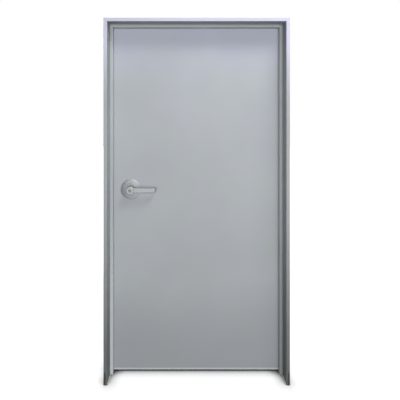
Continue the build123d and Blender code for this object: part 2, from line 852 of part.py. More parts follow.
# The retractor's two cheeks slide past the cam. Its outline stays inside the drum at both ends of travel.
slide_radius = chassis_radius - chassis_wall - 2 * fit_gap
cheek_inside = cam_thickness / 2 + fit_gap
shoulder_start = cam_arm_width / 2 + 4 * fit_gap
shoulder_low = spindle_radius + cam_ring + 2 * fit_gap
window_left = -(spindle_radius + cam_ring + latch_travel + 2 * fit_gap)
window_right = spindle_radius + 2 * fit_gap
with BuildPart() as retractor:
    with BuildSketch(lock_plane):
        Circle(slide_radius)
        with Locations((-latch_travel, 0)):
            Circle(slide_radius, mode=Mode.INTERSECT)
        Rectangle(4 * slide_radius, retractor_height, mode=Mode.INTERSECT)
        with Locations(((window_left + window_right) / 2, 0)):
            Rectangle(window_right - window_left, 2 * window_right, mode=Mode.SUBTRACT)
    extrude(amount=cheek_inside + retractor_sheet, both=True)
    with BuildSketch(lock_plane):
        with Locations((window_left, 0)):
            Rectangle(4 * slide_radius, 2 * retractor_height, align=(MIN, MID))
        with Locations((shoulder_start, shoulder_low)):
            Rectangle(shoulder_width, retractor_height, align=(MIN, MIN), mode=Mode.SUBTRACT)
    extrude(amount=cheek_inside, both=True, mode=Mode.SUBTRACT)
    with Locations((tube_stop + fit_gap, leaf_middle, lever_height)):
        Box(lever_x + window_left - tube_stop - fit_gap, retractor_tail, retractor_tail, align=(MIN, MID, MID))
    with BuildSketch(Plane(origin=(tube_stop, leaf_middle, lever_height), z_dir=(1, 0, 0))):
        Circle(rod_radius + running_clearance)
    extrude(amount=rod_end - tube_stop + fit_gap, mode=Mode.SUBTRACT)
keep(retractor, "retractor")


# Roses, their mounts and the levers, on the push side (-1) and on the pull side (1)
lever_axis = Axis((lever_x, 0, lever_height), (0, 1, 0))
lever_plane = Plane(origin=(lever_x, 0, lever_height))


def stand_off(side, distance):
    """The depth of a place that stands so far off the leaf's skin."""
    return leaf_front - distance if side < 0 else leaf_back + distance


def beside_axis(side, outline):
    """Turn (radius, stand-off) points into points of the plane through the lever's axis."""
    return [(radius, stand_off(side, distance)) for radius, distance in outline]


def turned(side, outline):
    """Turn a closed outline of (radius, stand-off) about the lever's axis."""
    with BuildSketch(lever_plane) as section:
        with BuildLine():
            Polyline(*beside_axis(side, outline), close=True)
        make_face()
    revolve(section.sketch, axis=lever_axis)


def rose(side):
    """A rose pressed from sheet: an upright rim, a shallow dome and a raised boss around the hub."""
    outline = [
        (rose_radius, 0),
        (rose_radius, rim_height),
        (dome_radius, dome_height),
        (boss_foot_radius, boss_foot_height),
        (boss_radius, boss_height),
        (hub_radius + hub_clearance, boss_height),
    ]
    bends = [rim_bend, dome_bend, boss_foot_bend, boss_bend]
    with BuildSketch(lever_plane) as section:
        with BuildLine():
            FilletPolyline(*beside_axis(side, outline), radius=bends)
            offset(amount=rose_sheet, side=Side.RIGHT if side < 0 else Side.LEFT)
        make_face()
    with BuildPart() as piece:
        revolve(section.sketch, axis=lever_axis)
    return piece


def rose_mount(side):
    """A disc on the skin with the bearing of the lever's neck; the outer one has the bolts' posts."""
    disc = rose_radius - rose_sheet - 2 * fit_gap
    bearing = neck_radius + running_clearance
    with BuildPart() as piece:
        turned(side, [
            (disc, 0), (disc, mount_sheet), (bearing + bearing_wall, mount_sheet),
            (bearing + bearing_wall, bearing_length), (bearing, bearing_length), (bearing, 0),
        ])
        for offset_z in (-through_bolt_offset, through_bolt_offset):
            place = (lever_x, stand_off(side, 0), lever_height + offset_z)
            if side < 0:
                with Locations(Plane(origin=place, z_dir=(0, 1, 0))):
                    Cylinder(post_radius, post_length, align=(MID, MID, MIN))
            with Locations(place):
                Cylinder(through_bolt_radius + screw_clearance, 3 * post_length, rotation=(90, 0, 0),
                         mode=Mode.SUBTRACT)
    return piece


keep(rose(-1), "outer_rose")
keep(rose(1), "inner_rose")
keep(rose_mount(-1), "outer_rose_mount")
keep(rose_mount(1), "inner_rose_mount")

with BuildPart() as through_bolts:
    for offset_z in (-through_bolt_offset, through_bolt_offset):
        head = Plane(origin=(lever_x, stand_off(1, mount_sheet), lever_height + offset_z), z_dir=(0, 1, 0))
        with Locations(head):
            Cylinder(bolt_head_radius, bolt_head, align=(MID, MID, MIN))
            Cylinder(through_bolt_radius, leaf_thickness, align=(MID, MID, MAX))
keep(through_bolts, "through_bolts")


def arm_section(origin, across, along, height):
    """The arm's section on a plane: its depth lies across, and the plane looks along the arm."""
    with BuildSketch(Plane(origin=origin, x_dir=across, z_dir=along)) as section:
        RectangleRounded(lever_section_depth, height, lever_section_round)
    return section.sketch


def lever(side):
    """A turned hub with a tapered arm that runs to +X and bends back to the leaf at its tip."""
    spindle_hole = spindle_radius + running_clearance
    back = -side
    arm_y = stand_off(side, lever_stand_off)
    bend_y = arm_y + back * lever_tip_radius
    root_x = lever_x + spindle_hole + lever_root_gap
    tip_x = lever_x + lever_length - lever_section_depth / 2
    bend_x = tip_x - lever_tip_radius
    root = arm_section((root_x, arm_y, lever_height), (0, 1, 0), (1, 0, 0), lever_root_height)
    bend = arm_section((bend_x, arm_y, lever_height), (0, 1, 0), (1, 0, 0), lever_tip_height)
    tip = arm_section((tip_x, bend_y, lever_height), (1, 0, 0), (0, back, 0), lever_tip_height)
    with BuildPart() as piece:
        turned(side, [
            (spindle_hole, mount_sheet), (neck_radius, mount_sheet), (neck_radius, hub_start),
            (hub_radius, hub_start), (hub_radius, hub_end), (spindle_hole, hub_end),
        ])
        hub_face = piece.edges().filter_by(GeomType.CIRCLE).group_by(Axis.Y)[0 if side < 0 else -1]
        fillet(hub_face.sort_by(SortBy.RADIUS)[-1], hub_round)
        loft([root, bend])
        revolve(bend, axis=Axis((bend_x, bend_y, lever_height), (0, 0, back)), revolution_arc=90)
        extrude(tip, amount=lever_tip_return)
        tip_edges = piece.edges().filter_by(lambda edge: edge.center().X > bend_x)
        fillet(tip_edges.group_by(Axis.Y)[-1 if side < 0 else 0], lever_tip_round)
        with Locations(Plane(origin=(lever_x, stand_off(side, hub_end), lever_height), z_dir=(0, side, 0))):
            Cylinder(plug_radius + running_clearance, plug_depth, align=(MID, MID, MAX), mode=Mode.SUBTRACT)
    return piece


keep(lever(-1), "outer_lever")
keep(lever(1), "inner_lever")

plug_face = (lever_x, stand_off(-1, hub_end + plug_proud), lever_height)
plug_plane = Plane(origin=plug_face, x_dir=(1, 0, 0), z_dir=(0, -1, 0))
with BuildPart() as key_plug:
    with BuildSketch(plug_plane):
        Circle(plug_radius)
    extrude(amount=-plug_depth)
    with BuildSketch(plug_plane):
        Rectangle(keyway_width, keyway_height)
    extrude(amount=-keyway_depth, mode=Mode.SUBTRACT)
keep(key_plug, "key_plug")

button_face = (lever_x, stand_off(1, hub_end + plug_proud), lever_height)
button_plane = Plane(origin=button_face, x_dir=(1, 0, 0), z_dir=(0, 1, 0))
with BuildPart() as turn_button:
    with BuildSketch(button_plane):
        Circle(plug_radius)
    extrude(amount=-plug_depth)
    with BuildSketch(button_plane):
        SlotOverall(2 * button_radius, button_grip_width, rotation=90)
    extrude(amount=button_grip)
    fillet(turn_button.edges().group_by(Axis.Y)[-1], button_grip_round)
keep(turn_button, "turn_button")
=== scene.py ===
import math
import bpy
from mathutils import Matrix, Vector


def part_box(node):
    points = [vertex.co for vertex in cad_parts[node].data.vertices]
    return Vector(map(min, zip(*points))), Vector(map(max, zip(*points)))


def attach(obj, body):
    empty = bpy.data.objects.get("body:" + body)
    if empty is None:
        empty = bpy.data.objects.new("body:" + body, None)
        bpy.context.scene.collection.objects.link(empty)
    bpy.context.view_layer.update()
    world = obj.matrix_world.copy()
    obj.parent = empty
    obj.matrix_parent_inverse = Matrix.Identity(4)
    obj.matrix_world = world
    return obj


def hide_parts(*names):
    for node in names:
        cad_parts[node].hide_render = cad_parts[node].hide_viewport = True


bl_info = {
    "name": "Fire Door Finish",
    "version": (1, 0, 0),
    "blender": (4, 5, 0),
    "location": "3D View > Sidebar > Fire Door",
    "description": "Paints and details a steel fire door in its folded frame",
    "category": "Object",
}

import bmesh
import bpy
import numpy as np
from bpy.props import FloatProperty, FloatVectorProperty, IntProperty, PointerProperty
from mathutils import Vector

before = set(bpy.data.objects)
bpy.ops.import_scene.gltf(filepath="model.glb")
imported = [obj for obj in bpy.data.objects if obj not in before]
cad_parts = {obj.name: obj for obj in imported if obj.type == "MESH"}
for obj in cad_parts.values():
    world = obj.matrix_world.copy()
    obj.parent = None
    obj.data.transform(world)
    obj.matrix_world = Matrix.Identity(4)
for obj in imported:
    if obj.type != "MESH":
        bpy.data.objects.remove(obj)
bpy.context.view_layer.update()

MM = 0.001
SHEET = 1.5 * MM
SLACK = 0.2 * MM
TRIM_WIDTH = 20 * MM
TRIM_DEPTH = 3 * MM
STOP_DEPTH = 35 * MM
STOP_BACK = 15.2 * MM
WHITE = (1.0, 1.0, 1.0)
PAINT_GLOSS = 0.3
JAMBS = ("jamb_lock_side", "jamb_hinge_side")
SKINS = ("leaf_front_skin", "leaf_back_skin")
SEALS = ("seal_lock_side", "seal_hinge_side", "seal_head")
SCREWS = {
    "frame_hinge_screws": "frame",
    "strike_screws": "frame",
    "leaf_hinge_screws": "leaf",
    "latch_screws": "leaf",
}
HEIGHTS = ("lower", "middle", "upper")

# Heights, in metres, between which the frame's paint turns from darker, painted shade under a dusty layer,
# and to lighter and bluer, a painted pool of light on the trims.
DUST_AND_SHADE_FADE = (-0.1, 1.15)
LIT_TOP_FADE = (1.55, 1.97)

# The filled mitre: half its width, sharp and faded, its depth in millimetres, and the face it lies in.
MITRE_LINE = (0.15 * MM, 0.7 * MM)
MITRE_MILLIMETRES = 0.12
MITRE_FACE = 0.3 * MM

# Near-black patches at the feet: between these heights, and this far in from the outer edge.
DARK_CORNER_FADE = (0.055, 0.08)
DARK_CORNER_INSET = (15 * MM, 9 * MM)

# How much longer a line of a brushed finish is than it is wide.
BRUSH_STRETCH = 60.0

# A seal's section, as shares of its half width and of its height above the base.
SEAL_SQUARENESS = 0.6
BULB_HALF = 0.55
LIP_HEIGHT = 0.32
LIP_PLACE = 0.86
LIP_SPREAD = 0.10

# A screw: its rings, shares of its head, slot and shank, and, where MM stands, lengths.
HEAD_RINGS = 12
HEAD_MIDDLE = 0.02
HEAD_RIM = 0.25 * MM
CROSS_REACH = 0.56
CROSS_SOFTNESS = 0.35 * MM
CROSS_MIDDLE = 1.15
CROSS_RISE = 0.55
THREAD_DEPTH = 0.12
SCREW_POINT = 0.7
END_SLICE = 0.5 * MM

# A bead: points round it, points along each ripple, and how it narrows at its ends.
BEAD_SIDES = 16
BEAD_STEPS = 4
BEAD_END_POWER = 8
BEAD_END = 0.02
WELD_SWELLING = 0.16
SEALANT_SWELLING = 0.06
SEALANT_SUNK = 0.7

# Least distances between the solids of a node, which tell one from the next.
SCREW_GAP = 2 * MM
STRAP_GAP = 100 * MM

# The lamps: where each stands, its width and height, and whether gloss shows it.
LAMP_AIM = (0.0, 0.0, 1.0)
LAMPS = {
    "key": ((1.0, -1.25, 3.4), (1.2, 0.8), True),
    "fill": ((0.3, -4.5, 1.6), (3.0, 2.4), False),
    "back": ((-0.6, 4.4, 2.2), (3.0, 2.4), False),
}

# The floor: where it turns white, how far a contact shadow reaches and how it falls off. Then the
# colour of the room's light.
FLOOR_FADE = (0.9, 2.1)
CONTACT_REACH = 0.075
CONTACT_POWER = 2.4
CONTACT_FADE = (0.35, 0.8)
CONTACT_COLOUR = (0.02, 0.02, 0.02)
FLOOR_GLOW = 0.62
FLOOR_WHITE = 1.3
DIM_FLOOR = (0.10, 0.10, 0.10)
ROOM_COLOUR = (0.97, 0.98, 1.0)


# Sizes read from the frame, in metres.
def middle(node):
    """The centre of a node's box."""
    low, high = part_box(node)
    return (Vector(low) + Vector(high)) / 2


lever_axis = middle("outer_rose")
jamb_low, jamb_high = (Vector(corner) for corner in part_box("jamb_hinge_side"))
head_low, head_high = (Vector(corner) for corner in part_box("frame_head"))
face_y = jamb_low.y
middle_y = (jamb_low.y + jamb_high.y) / 2
half_depth = (jamb_high.y - jamb_low.y) / 2
frame_side = jamb_high.x
frame_top = head_high.z
reveal_side = frame_side - TRIM_WIDTH
reveal_top = frame_top - TRIM_WIDTH
stop_side = jamb_low.x
stop_bottom = head_low.z


# Settings that a user of the panel may change.
class FireDoorPaint(bpy.types.PropertyGroup):
    """Paint of the leaf and the frame"""

    leaf_colour: FloatVectorProperty(
        name="Leaf colour", description="Paint of the leaf",
        subtype="COLOR", size=3, min=0.0, max=1.0, default=(0.44, 0.463, 0.495))
    frame_colour: FloatVectorProperty(
        name="Frame colour", description="Paint of the jambs at half height",
        subtype="COLOR", size=3, min=0.0, max=1.0, default=(0.40, 0.42, 0.445))
    # Painted light: the trims' paint turns lighter and bluer towards the top, as a pool of light.
    lit_top_colour: FloatVectorProperty(
        name="Clean frame colour", description="Paint of the head and the jambs' tops",
        subtype="COLOR", size=3, min=0.0, max=1.0, default=(0.58, 0.585, 0.72))
    # Painted shade and dirt: the jambs' paint turns darker towards the feet, and a patchy dusty layer there
    # takes a darker tone of this colour.
    dust_and_shade_colour: FloatVectorProperty(
        name="Dusty frame colour", description="Paint of the jambs' feet under floor dust",
        subtype="COLOR", size=3, min=0.0, max=1.0, default=(0.145, 0.157, 0.154))
    stop_colour: FloatVectorProperty(
        name="Stop colour", description="Paint of the stops, which stay clean",
        subtype="COLOR", size=3, min=0.0, max=1.0, default=(0.45, 0.475, 0.50))
    # Painted highlight: the channel under the leaf is painted paler than the leaf, as its lit edge.
    shoe_highlight_colour: FloatVectorProperty(
        name="Shoe colour", description="Paint of the channel under the leaf",
        subtype="COLOR", size=3, min=0.0, max=1.0, default=(0.60, 0.62, 0.65))
    # Painted shade: how much darker the reveal's paint is on the hinge side and towards the head.
    reveal_shade: FloatProperty(
        name="Reveal", description="How light the paint of the reveal is against the trim",
        subtype="FACTOR", min=0.1, max=1.0, default=0.82)
    # Near-black patches low at the outer corners of the trims.
    dark_corner_colour: FloatVectorProperty(
        name="Grime colour", description="Scuffs and floor dirt on the frame's feet",
        subtype="COLOR", size=3, min=0.0, max=1.0, default=(0.035, 0.036, 0.034))
    roughness: FloatProperty(
        name="Paint roughness", description="Satin sheen of the paint",
        min=0.05, max=1.0, default=0.56)
    peel_size: FloatProperty(
        name="Orange peel", description="Width of one dimple of the sprayed paint",
        unit="LENGTH", min=0.0005, max=0.02, default=0.0032)
    peel_depth: FloatProperty(
        name="Peel depth", description="Depth of the dimples of the sprayed paint",
        unit="LENGTH", min=0.0, max=0.0005, default=0.00001)
    dent_depth: FloatProperty(
        name="Sheet waviness", description="How far the flat sheet wanders over its width",
        unit="LENGTH", min=0.0, max=0.003, default=0.0004)


class FireDoorMetal(bpy.types.PropertyGroup):
    """Bare and plated metal, and the fibre core"""

    satin_colour: FloatVectorProperty(
        name="Lever metal", description="Satin metal of levers and roses",
        subtype="COLOR", size=3, min=0.0, max=1.0, default=(0.43, 0.444, 0.455))
    steel_colour: FloatVectorProperty(
        name="Hinge steel", description="Brushed steel of hinges and strike",
        subtype="COLOR", size=3, min=0.0, max=1.0, default=(0.50, 0.50, 0.49))
    zinc_colour: FloatVectorProperty(
        name="Zinc", description="Zinc coating on the side that faces the wall",
        subtype="COLOR", size=3, min=0.0, max=1.0, default=(0.45, 0.47, 0.49))
    rust_colour: FloatVectorProperty(
        name="Rust", description="Rusty blots on the hidden plates",
        subtype="COLOR", size=3, min=0.0, max=1.0, default=(0.16, 0.10, 0.07))
    core_colour: FloatVectorProperty(
        name="Core", description="Mineral fibre inside the leaf",
        subtype="COLOR", size=3, min=0.0, max=1.0, default=(0.48, 0.44, 0.37))
    crystal_size: FloatProperty(
        name="Zinc crystal", description="Width of one crystal of the zinc coating",
        unit="LENGTH", min=0.001, max=0.05, default=0.007)
    nickel_colour: FloatVectorProperty(
        name="Key plug", description="Nickel plate on the brass key plug",
        subtype="COLOR", size=3, min=0.0, max=1.0, default=(0.26, 0.25, 0.22))
    scratch_size: FloatProperty(
        name="Brush line", description="Width of one line of the brushed finish",
        unit="LENGTH", min=0.00005, max=0.002, default=0.0003)


class FireDoorSeal(bpy.types.PropertyGroup):
    """Rubber smoke seals"""

    rubber_colour: FloatVectorProperty(
        name="Rubber", description="Colour of the smoke seal",
        subtype="COLOR", size=3, min=0.0, max=1.0, default=(0.022, 0.022, 0.024))
    base_height: FloatProperty(
        name="Seal base", description="Height of the flat foot of the seal",
        unit="LENGTH", min=0.0002, max=0.002, default=0.0010)
    round_points: IntProperty(
        name="Round points", description="Points round the section of a seal",
        min=12, max=192, default=96)


class FireDoorScrew(bpy.types.PropertyGroup):
    """Cross-head screws"""

    slot_depth: FloatProperty(
        name="Cross depth", description="Depth of the cross in a screw head",
        unit="LENGTH", min=0.0002, max=0.003, default=0.0016)
    slot_width: FloatProperty(
        name="Cross width", description="Width of one arm of the cross",
        unit="LENGTH", min=0.0003, max=0.003, default=0.0011)
    round_points: IntProperty(
        name="Round points", description="Points round a screw",
        min=12, max=96, default=48)
    thread_pitch: FloatProperty(
        name="Thread pitch", description="Distance between two turns of the thread",
        unit="LENGTH", min=0.0004, max=0.002, default=0.0008)


class FireDoorWeld(bpy.types.PropertyGroup):
    """Weld beads of the wall straps, and the sealant at the feet"""

    bead_radius: FloatProperty(
        name="Bead radius", description="Radius of a weld bead behind the frame",
        unit="LENGTH", min=0.0005, max=0.004, default=0.0014)
    bead_start: FloatProperty(
        name="Bead start", description="Distance of a weld bead from the strap's end",
        unit="LENGTH", min=0.0, max=0.02, default=0.001)
    bead_length: FloatProperty(
        name="Bead length", description="Length of a weld bead",
        unit="LENGTH", min=0.002, max=0.03, default=0.0075)
    sealant_radius: FloatProperty(
        name="Sealant radius", description="Radius of the bead along a jamb's foot",
        unit="LENGTH", min=0.0005, max=0.01, default=0.004)
    sealant_colour: FloatVectorProperty(
        name="Sealant", description="Colour of the bead along a jamb's foot",
        subtype="COLOR", size=3, min=0.0, max=1.0, default=(0.74, 0.72, 0.66))
    sealant_ripple: FloatProperty(
        name="Sealant ripple", description="Distance between two swellings of the sealant",
        unit="LENGTH", min=0.005, max=0.2, default=0.03)
    ripple: FloatProperty(
        name="Weld ripple", description="Distance between two ripples of a weld bead",
        unit="LENGTH", min=0.0005, max=0.005, default=0.0018)


class FireDoorStage(bpy.types.PropertyGroup):
    """Floor, lamps and room light"""

    floor_colour: FloatVectorProperty(
        name="Floor", description="Plain pale floor",
        subtype="COLOR", size=3, min=0.0, max=1.0, default=(0.92, 0.92, 0.92))
    floor_reach: FloatProperty(
        name="Floor reach", description="Half the width of the floor",
        unit="LENGTH", min=3.0, max=50.0, default=14.0)
    ambient: FloatProperty(
        name="Room light", description="Strength of the even light from all round",
        min=0.0, max=2.0, default=0.13)
    key_power: FloatProperty(
        name="Key light", description="Power of the main lamp",
        unit="POWER", min=0.0, default=33.0)
    fill_power: FloatProperty(
        name="Fill light", description="Power of the soft lamp from the front",
        unit="POWER", min=0.0, default=148.0)
    back_power: FloatProperty(
        name="Back light", description="Power of the soft lamp behind the door",
        unit="POWER", min=0.0, default=170.0)


# Where the camera stood: pixels of a 400 by 400 picture, and metres.
picture_width = 400
eye_pixel = (185.0, 107.0)
focal_pixels = 421.0
sensor_width = 36.0
eye = Vector((-0.0656, face_y - 2.360, 1.560))


# A number in a material, written as arithmetic.
class Shade:
    """Wraps a socket of a material; arithmetic on it adds Math nodes."""

    def __init__(self, nodes, socket):
        self.nodes = nodes
        self.socket = socket

    def maths(self, operation, first, second):
        """The result of one Math node."""
        return self.nodes.add("ShaderNodeMath", {"operation": operation}, {0: first, 1: second})

    def __add__(self, other):
        return self.maths("ADD", self, other)

    def __radd__(self, other):
        return self.maths("ADD", other, self)

    def __sub__(self, other):
        return self.maths("SUBTRACT", self, other)

    def __rsub__(self, other):
        return self.maths("SUBTRACT", other, self)

    def __mul__(self, other):
        return self.maths("MULTIPLY", self, other)

    def __rmul__(self, other):
        return self.maths("MULTIPLY", other, self)

    def __gt__(self, other):
        return self.maths("GREATER_THAN", self, other)

    def __lt__(self, other):
        return self.maths("LESS_THAN", self, other)

    def __abs__(self):
        return self.maths("ABSOLUTE", self, 0.0)

    def __pow__(self, other):
        return self.maths("POWER", self, other)

    def larger(self, other):
        """The larger of two numbers, which joins two masks."""
        return self.maths("MAXIMUM", self, other)


class Nodes:
    """The nodes of a material or of the world, all added by one method."""

    def __init__(self, owner):
        owner.use_nodes = True
        self.tree = owner.node_tree
        self.tree.nodes.clear()

    def add(self, kind, settings=None, sockets=None, output=0):
        """Add a node, set it up, fill or link its sockets, and give back one output, if it has any."""
        made = self.tree.nodes.new(kind)
        for name, value in (settings or {}).items():
            setattr(made, name, value)
        for name, value in (sockets or {}).items():
            self.plug(made.inputs[name], value)
        return Shade(self, made.outputs[output]) if made.outputs else None

    def plug(self, socket, value):
        """Link a Shade to a socket, or set its value; a colour may be three numbers."""
        if isinstance(value, Shade):
            self.tree.links.new(value.socket, socket)
        elif socket.type == "RGBA" and len(value) == 3:
            socket.default_value = (*value, 1.0)
        else:
            socket.default_value = value

    def outputs(self, shade):
        """All outputs of the node that a Shade comes from."""
        return [Shade(self, output) for output in shade.socket.node.outputs]

    def seen_directly(self):
        """1 for rays from the camera, from gloss and from glass."""
        rays = {ray.socket.name: ray for ray in self.outputs(self.add("ShaderNodeLightPath"))}
        return rays["Is Camera Ray"].larger(rays["Is Glossy Ray"]).larger(rays["Is Transmission Ray"])


class Finish(Nodes):
    """A procedural material under construction, worked out from its place on the object."""

    def __init__(self, name):
        self.material = bpy.data.materials.new(name)
        super().__init__(self.material)
        self.place = self.add("ShaderNodeTexCoord", output="Object")
        self.x, self.y, self.z = self.split(self.place)

    def split(self, vector):
        """The three parts of a vector or a colour."""
        return self.outputs(self.add("ShaderNodeSeparateXYZ", None, {0: vector}))

    def join(self, x, y, z):
        """A vector from three numbers."""
        return self.add("ShaderNodeCombineXYZ", None, {0: x, 1: y, 2: z})

    def length(self, x, y, z):
        """How far a point is from the origin."""
        return self.add("ShaderNodeVectorMath", {"operation": "LENGTH"}, {0: self.join(x, y, z)}, "Value")

    def noise(self, scale, vector=None, detail=2.0):
        """Soft noise from about 0.3 to 0.7, with blots one metre over the scale across."""
        return self.add("ShaderNodeTexNoise", None,
                        {"Vector": vector or self.place, "Scale": scale, "Detail": detail})

    def ramp(self, value, low, high):
        """0 below low, 1 above high, and a smooth rise between them."""
        return self.add("ShaderNodeMapRange", {"interpolation_type": "SMOOTHSTEP"},
                        {"Value": value, "From Min": low, "From Max": high})

    def mix(self, amount, first, second):
        """From the first colour at 0 to the second at 1."""
        return self.add("ShaderNodeMix", {"data_type": "RGBA"}, {0: amount, 6: first, 7: second}, 2)

    def tinted(self, colour, amount, tint_at_one, tint_at_zero=WHITE):
        """A colour times a tint, which changes with the amount."""
        return self.add("ShaderNodeMix", {"data_type": "RGBA", "blend_type": "MULTIPLY"},
                        {0: 1.0, 6: colour, 7: self.mix(amount, tint_at_zero, tint_at_one)}, 2)

    def end(self, shader):
        """Make a shader the surface of the material."""
        self.add("ShaderNodeOutputMaterial", None, {"Surface": shader})
        return self.material

    def paint(self, height, **sockets):
        """End with a Principled shader; height is the relief in metres, and its bump is the normal."""
        values = {}
        for name, value in sockets.items():
            values[name.replace("_", " ").title().replace("Ior", "IOR")] = value
        relief = {"Strength": 1.0, "Distance": 1.0, "Height": height}
        values["Normal"] = self.add("ShaderNodeBump", None, relief)
        return self.end(self.add("ShaderNodeBsdfPrincipled", None, values))


def tint(colour, factor):
    """A colour made lighter or darker."""
    return tuple(min(1.0, part * factor) for part in colour)


def dress(material, *nodes):
    """Give CAD nodes their finish."""
    for name in nodes:
        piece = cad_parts[name]
        piece.data.materials.clear()
        piece.data.materials.append(material)


# Finishes.
def sprayed_paint(finish, colour, paint):
    """Satin paint: colour with faint clouds and specks, its roughness and its relief. The relief is the
    fine dimples of the spray plus the slow waves of thin sheet."""
    clouds = finish.noise(2.3, detail=3.0)
    cool = finish.noise(3.1, finish.join(finish.z, finish.x, finish.y), 1.0)
    specks = finish.noise(900.0, detail=1.0)
    tone = finish.tinted(colour, finish.ramp(clouds, 0.35, 0.65), (1.02, 1.02, 1.02), (0.972, 0.972, 0.972))
    tone = finish.tinted(tone, finish.ramp(cool, 0.4, 0.62), (1.0, 1.008, 0.98))
    tone = finish.tinted(tone, finish.ramp(specks, 0.62, 0.75), (0.97, 0.97, 0.97))
    roughness = paint.roughness + (clouds - 0.5) * 0.12
    peel = finish.noise(1.0 / paint.peel_size, detail=1.0) * paint.peel_depth
    wave = finish.noise(2.6, detail=1.0) * paint.dent_depth
    return tone, roughness, peel + wave


def zinc(finish, metal):
    """Zinc spangle: flat crystals, each with its own grey."""
    crystal = finish.add("ShaderNodeTexVoronoi", None,
                         {"Vector": finish.place, "Scale": 1.0 / metal.crystal_size}, "Color")
    grey = finish.split(crystal)[0]
    cloud = finish.ramp(finish.noise(9.0, detail=3.0), 0.35, 0.7)
    tone = finish.mix(grey, tint(metal.zinc_colour, 0.86), tint(metal.zinc_colour, 1.04))
    return finish.tinted(tone, cloud, (0.9, 0.9, 0.91)), 0.42 + grey * 0.12 + cloud * 0.06


def throat_mask(finish, across, depth):
    """1 on the side of the sheet that faces the wall: inside the frame's outline by a sheet, and past
    the reveal, or past the stop where the stop stands."""
    inside = (across < frame_side - SHEET + SLACK) * (finish.z < frame_top - SHEET + SLACK)
    inside = inside * (depth < half_depth - SHEET + SLACK)
    past_reveal = (across > reveal_side + SHEET - SLACK).larger(finish.z > reveal_top + SHEET - SLACK)
    past_stop = (across > stop_side + SHEET - SLACK).larger(finish.z > stop_bottom + SHEET - SLACK)
    return inside * past_reveal.larger(past_stop * (abs(finish.y) < STOP_BACK))


def frame_paint(paint, metal):
    """Paint of jambs and head: a painted pool of light makes the trims lighter and bluer towards the top, and
    painted shade makes the paint darker towards the feet, under a patchy dusty layer. The stops are paler,
    with painted light towards the lock-side stop's foot and painted shade towards the hinge-side stop's foot,
    and painted shade darkens the reveal before them on the hinge side and towards the head. With zinc in the
    throat, a filled mitre and near-black patches at the outer corners of the feet."""
    finish = Finish("frame_paint")
    across = abs(finish.x)
    depth = abs(finish.y - middle_y)
    on_trim = depth > half_depth - TRIM_DEPTH
    on_stop = abs(finish.y) < STOP_DEPTH / 2
    in_reveal = (1 - on_trim) * (finish.y < -STOP_DEPTH / 2)
    # Darker towards the feet: painted shade, which also bounds a patchy dusty layer. Lighter and bluer at the
    # top of the trims: a painted pool of light.
    dust_and_shade = 1 - finish.ramp(finish.z, *DUST_AND_SHADE_FADE)
    clean = finish.ramp(finish.z, *LIT_TOP_FADE) * on_trim
    colour = finish.mix(dust_and_shade, paint.frame_colour, paint.dust_and_shade_colour)
    colour = finish.mix(clean, colour, paint.lit_top_colour)
    # Painted light makes the lock-side stop lighter towards its foot, and painted shade makes the hinge-side
    # stop darker towards its foot.
    stop = finish.mix(dust_and_shade * (finish.x < 0), paint.stop_colour, tint(paint.stop_colour, 1.45))
    stop = finish.mix(dust_and_shade * (finish.x > 0), stop, tint(paint.stop_colour, 0.8))
    colour = finish.mix(on_stop, colour, stop)
    # Painted shade in the reveal, on the hinge side and towards the head.
    shaded = finish.ramp(finish.x, -0.2, 0.45).larger(finish.ramp(finish.z, 1.2, 2.0)) * in_reveal
    colour = finish.tinted(colour, shaded, (paint.reveal_shade,) * 3)
    tone, roughness, height = sprayed_paint(finish, colour, paint)
    # A patchy dusty layer low down, off the stops.
    low_darkening = dust_and_shade * finish.ramp(finish.noise(14.0, detail=3.0), 0.35, 0.7) * (1 - on_stop)
    tone = finish.mix(low_darkening * 0.2, tone, tint(paint.dust_and_shade_colour, 0.7))
    seam = abs((across - frame_side) - (finish.z - frame_top))
    on_corner = (depth > half_depth - MITRE_FACE) * (across > reveal_side) * (finish.z > reveal_top)
    seam = (1 - finish.ramp(seam, *MITRE_LINE)) * on_corner
    tone = finish.mix(seam * 0.45, tone, tint(paint.frame_colour, 0.45))
    # Near-black patches low down at the trims' outer corners.
    ragged = finish.noise(60.0, detail=4.0) - 0.5
    low_down = 1 - finish.ramp(finish.z + ragged * 0.03, *DARK_CORNER_FADE)
    inset = [frame_side - distance for distance in DARK_CORNER_INSET]
    outer_edge = finish.ramp(across + ragged * 0.01, *inset)
    tone = finish.mix(low_down * outer_edge * 0.85, tone, paint.dark_corner_colour)
    throat = throat_mask(finish, across, depth)
    zinc_tone, zinc_rough = zinc(finish, metal)
    return finish.paint(
        height - seam * MITRE_MILLIMETRES * MM, base_color=finish.mix(throat, tone, zinc_tone),
        roughness=roughness * (1 - throat) + zinc_rough * throat, metallic=throat * 0.85,
        specular_ior_level=PAINT_GLOSS)


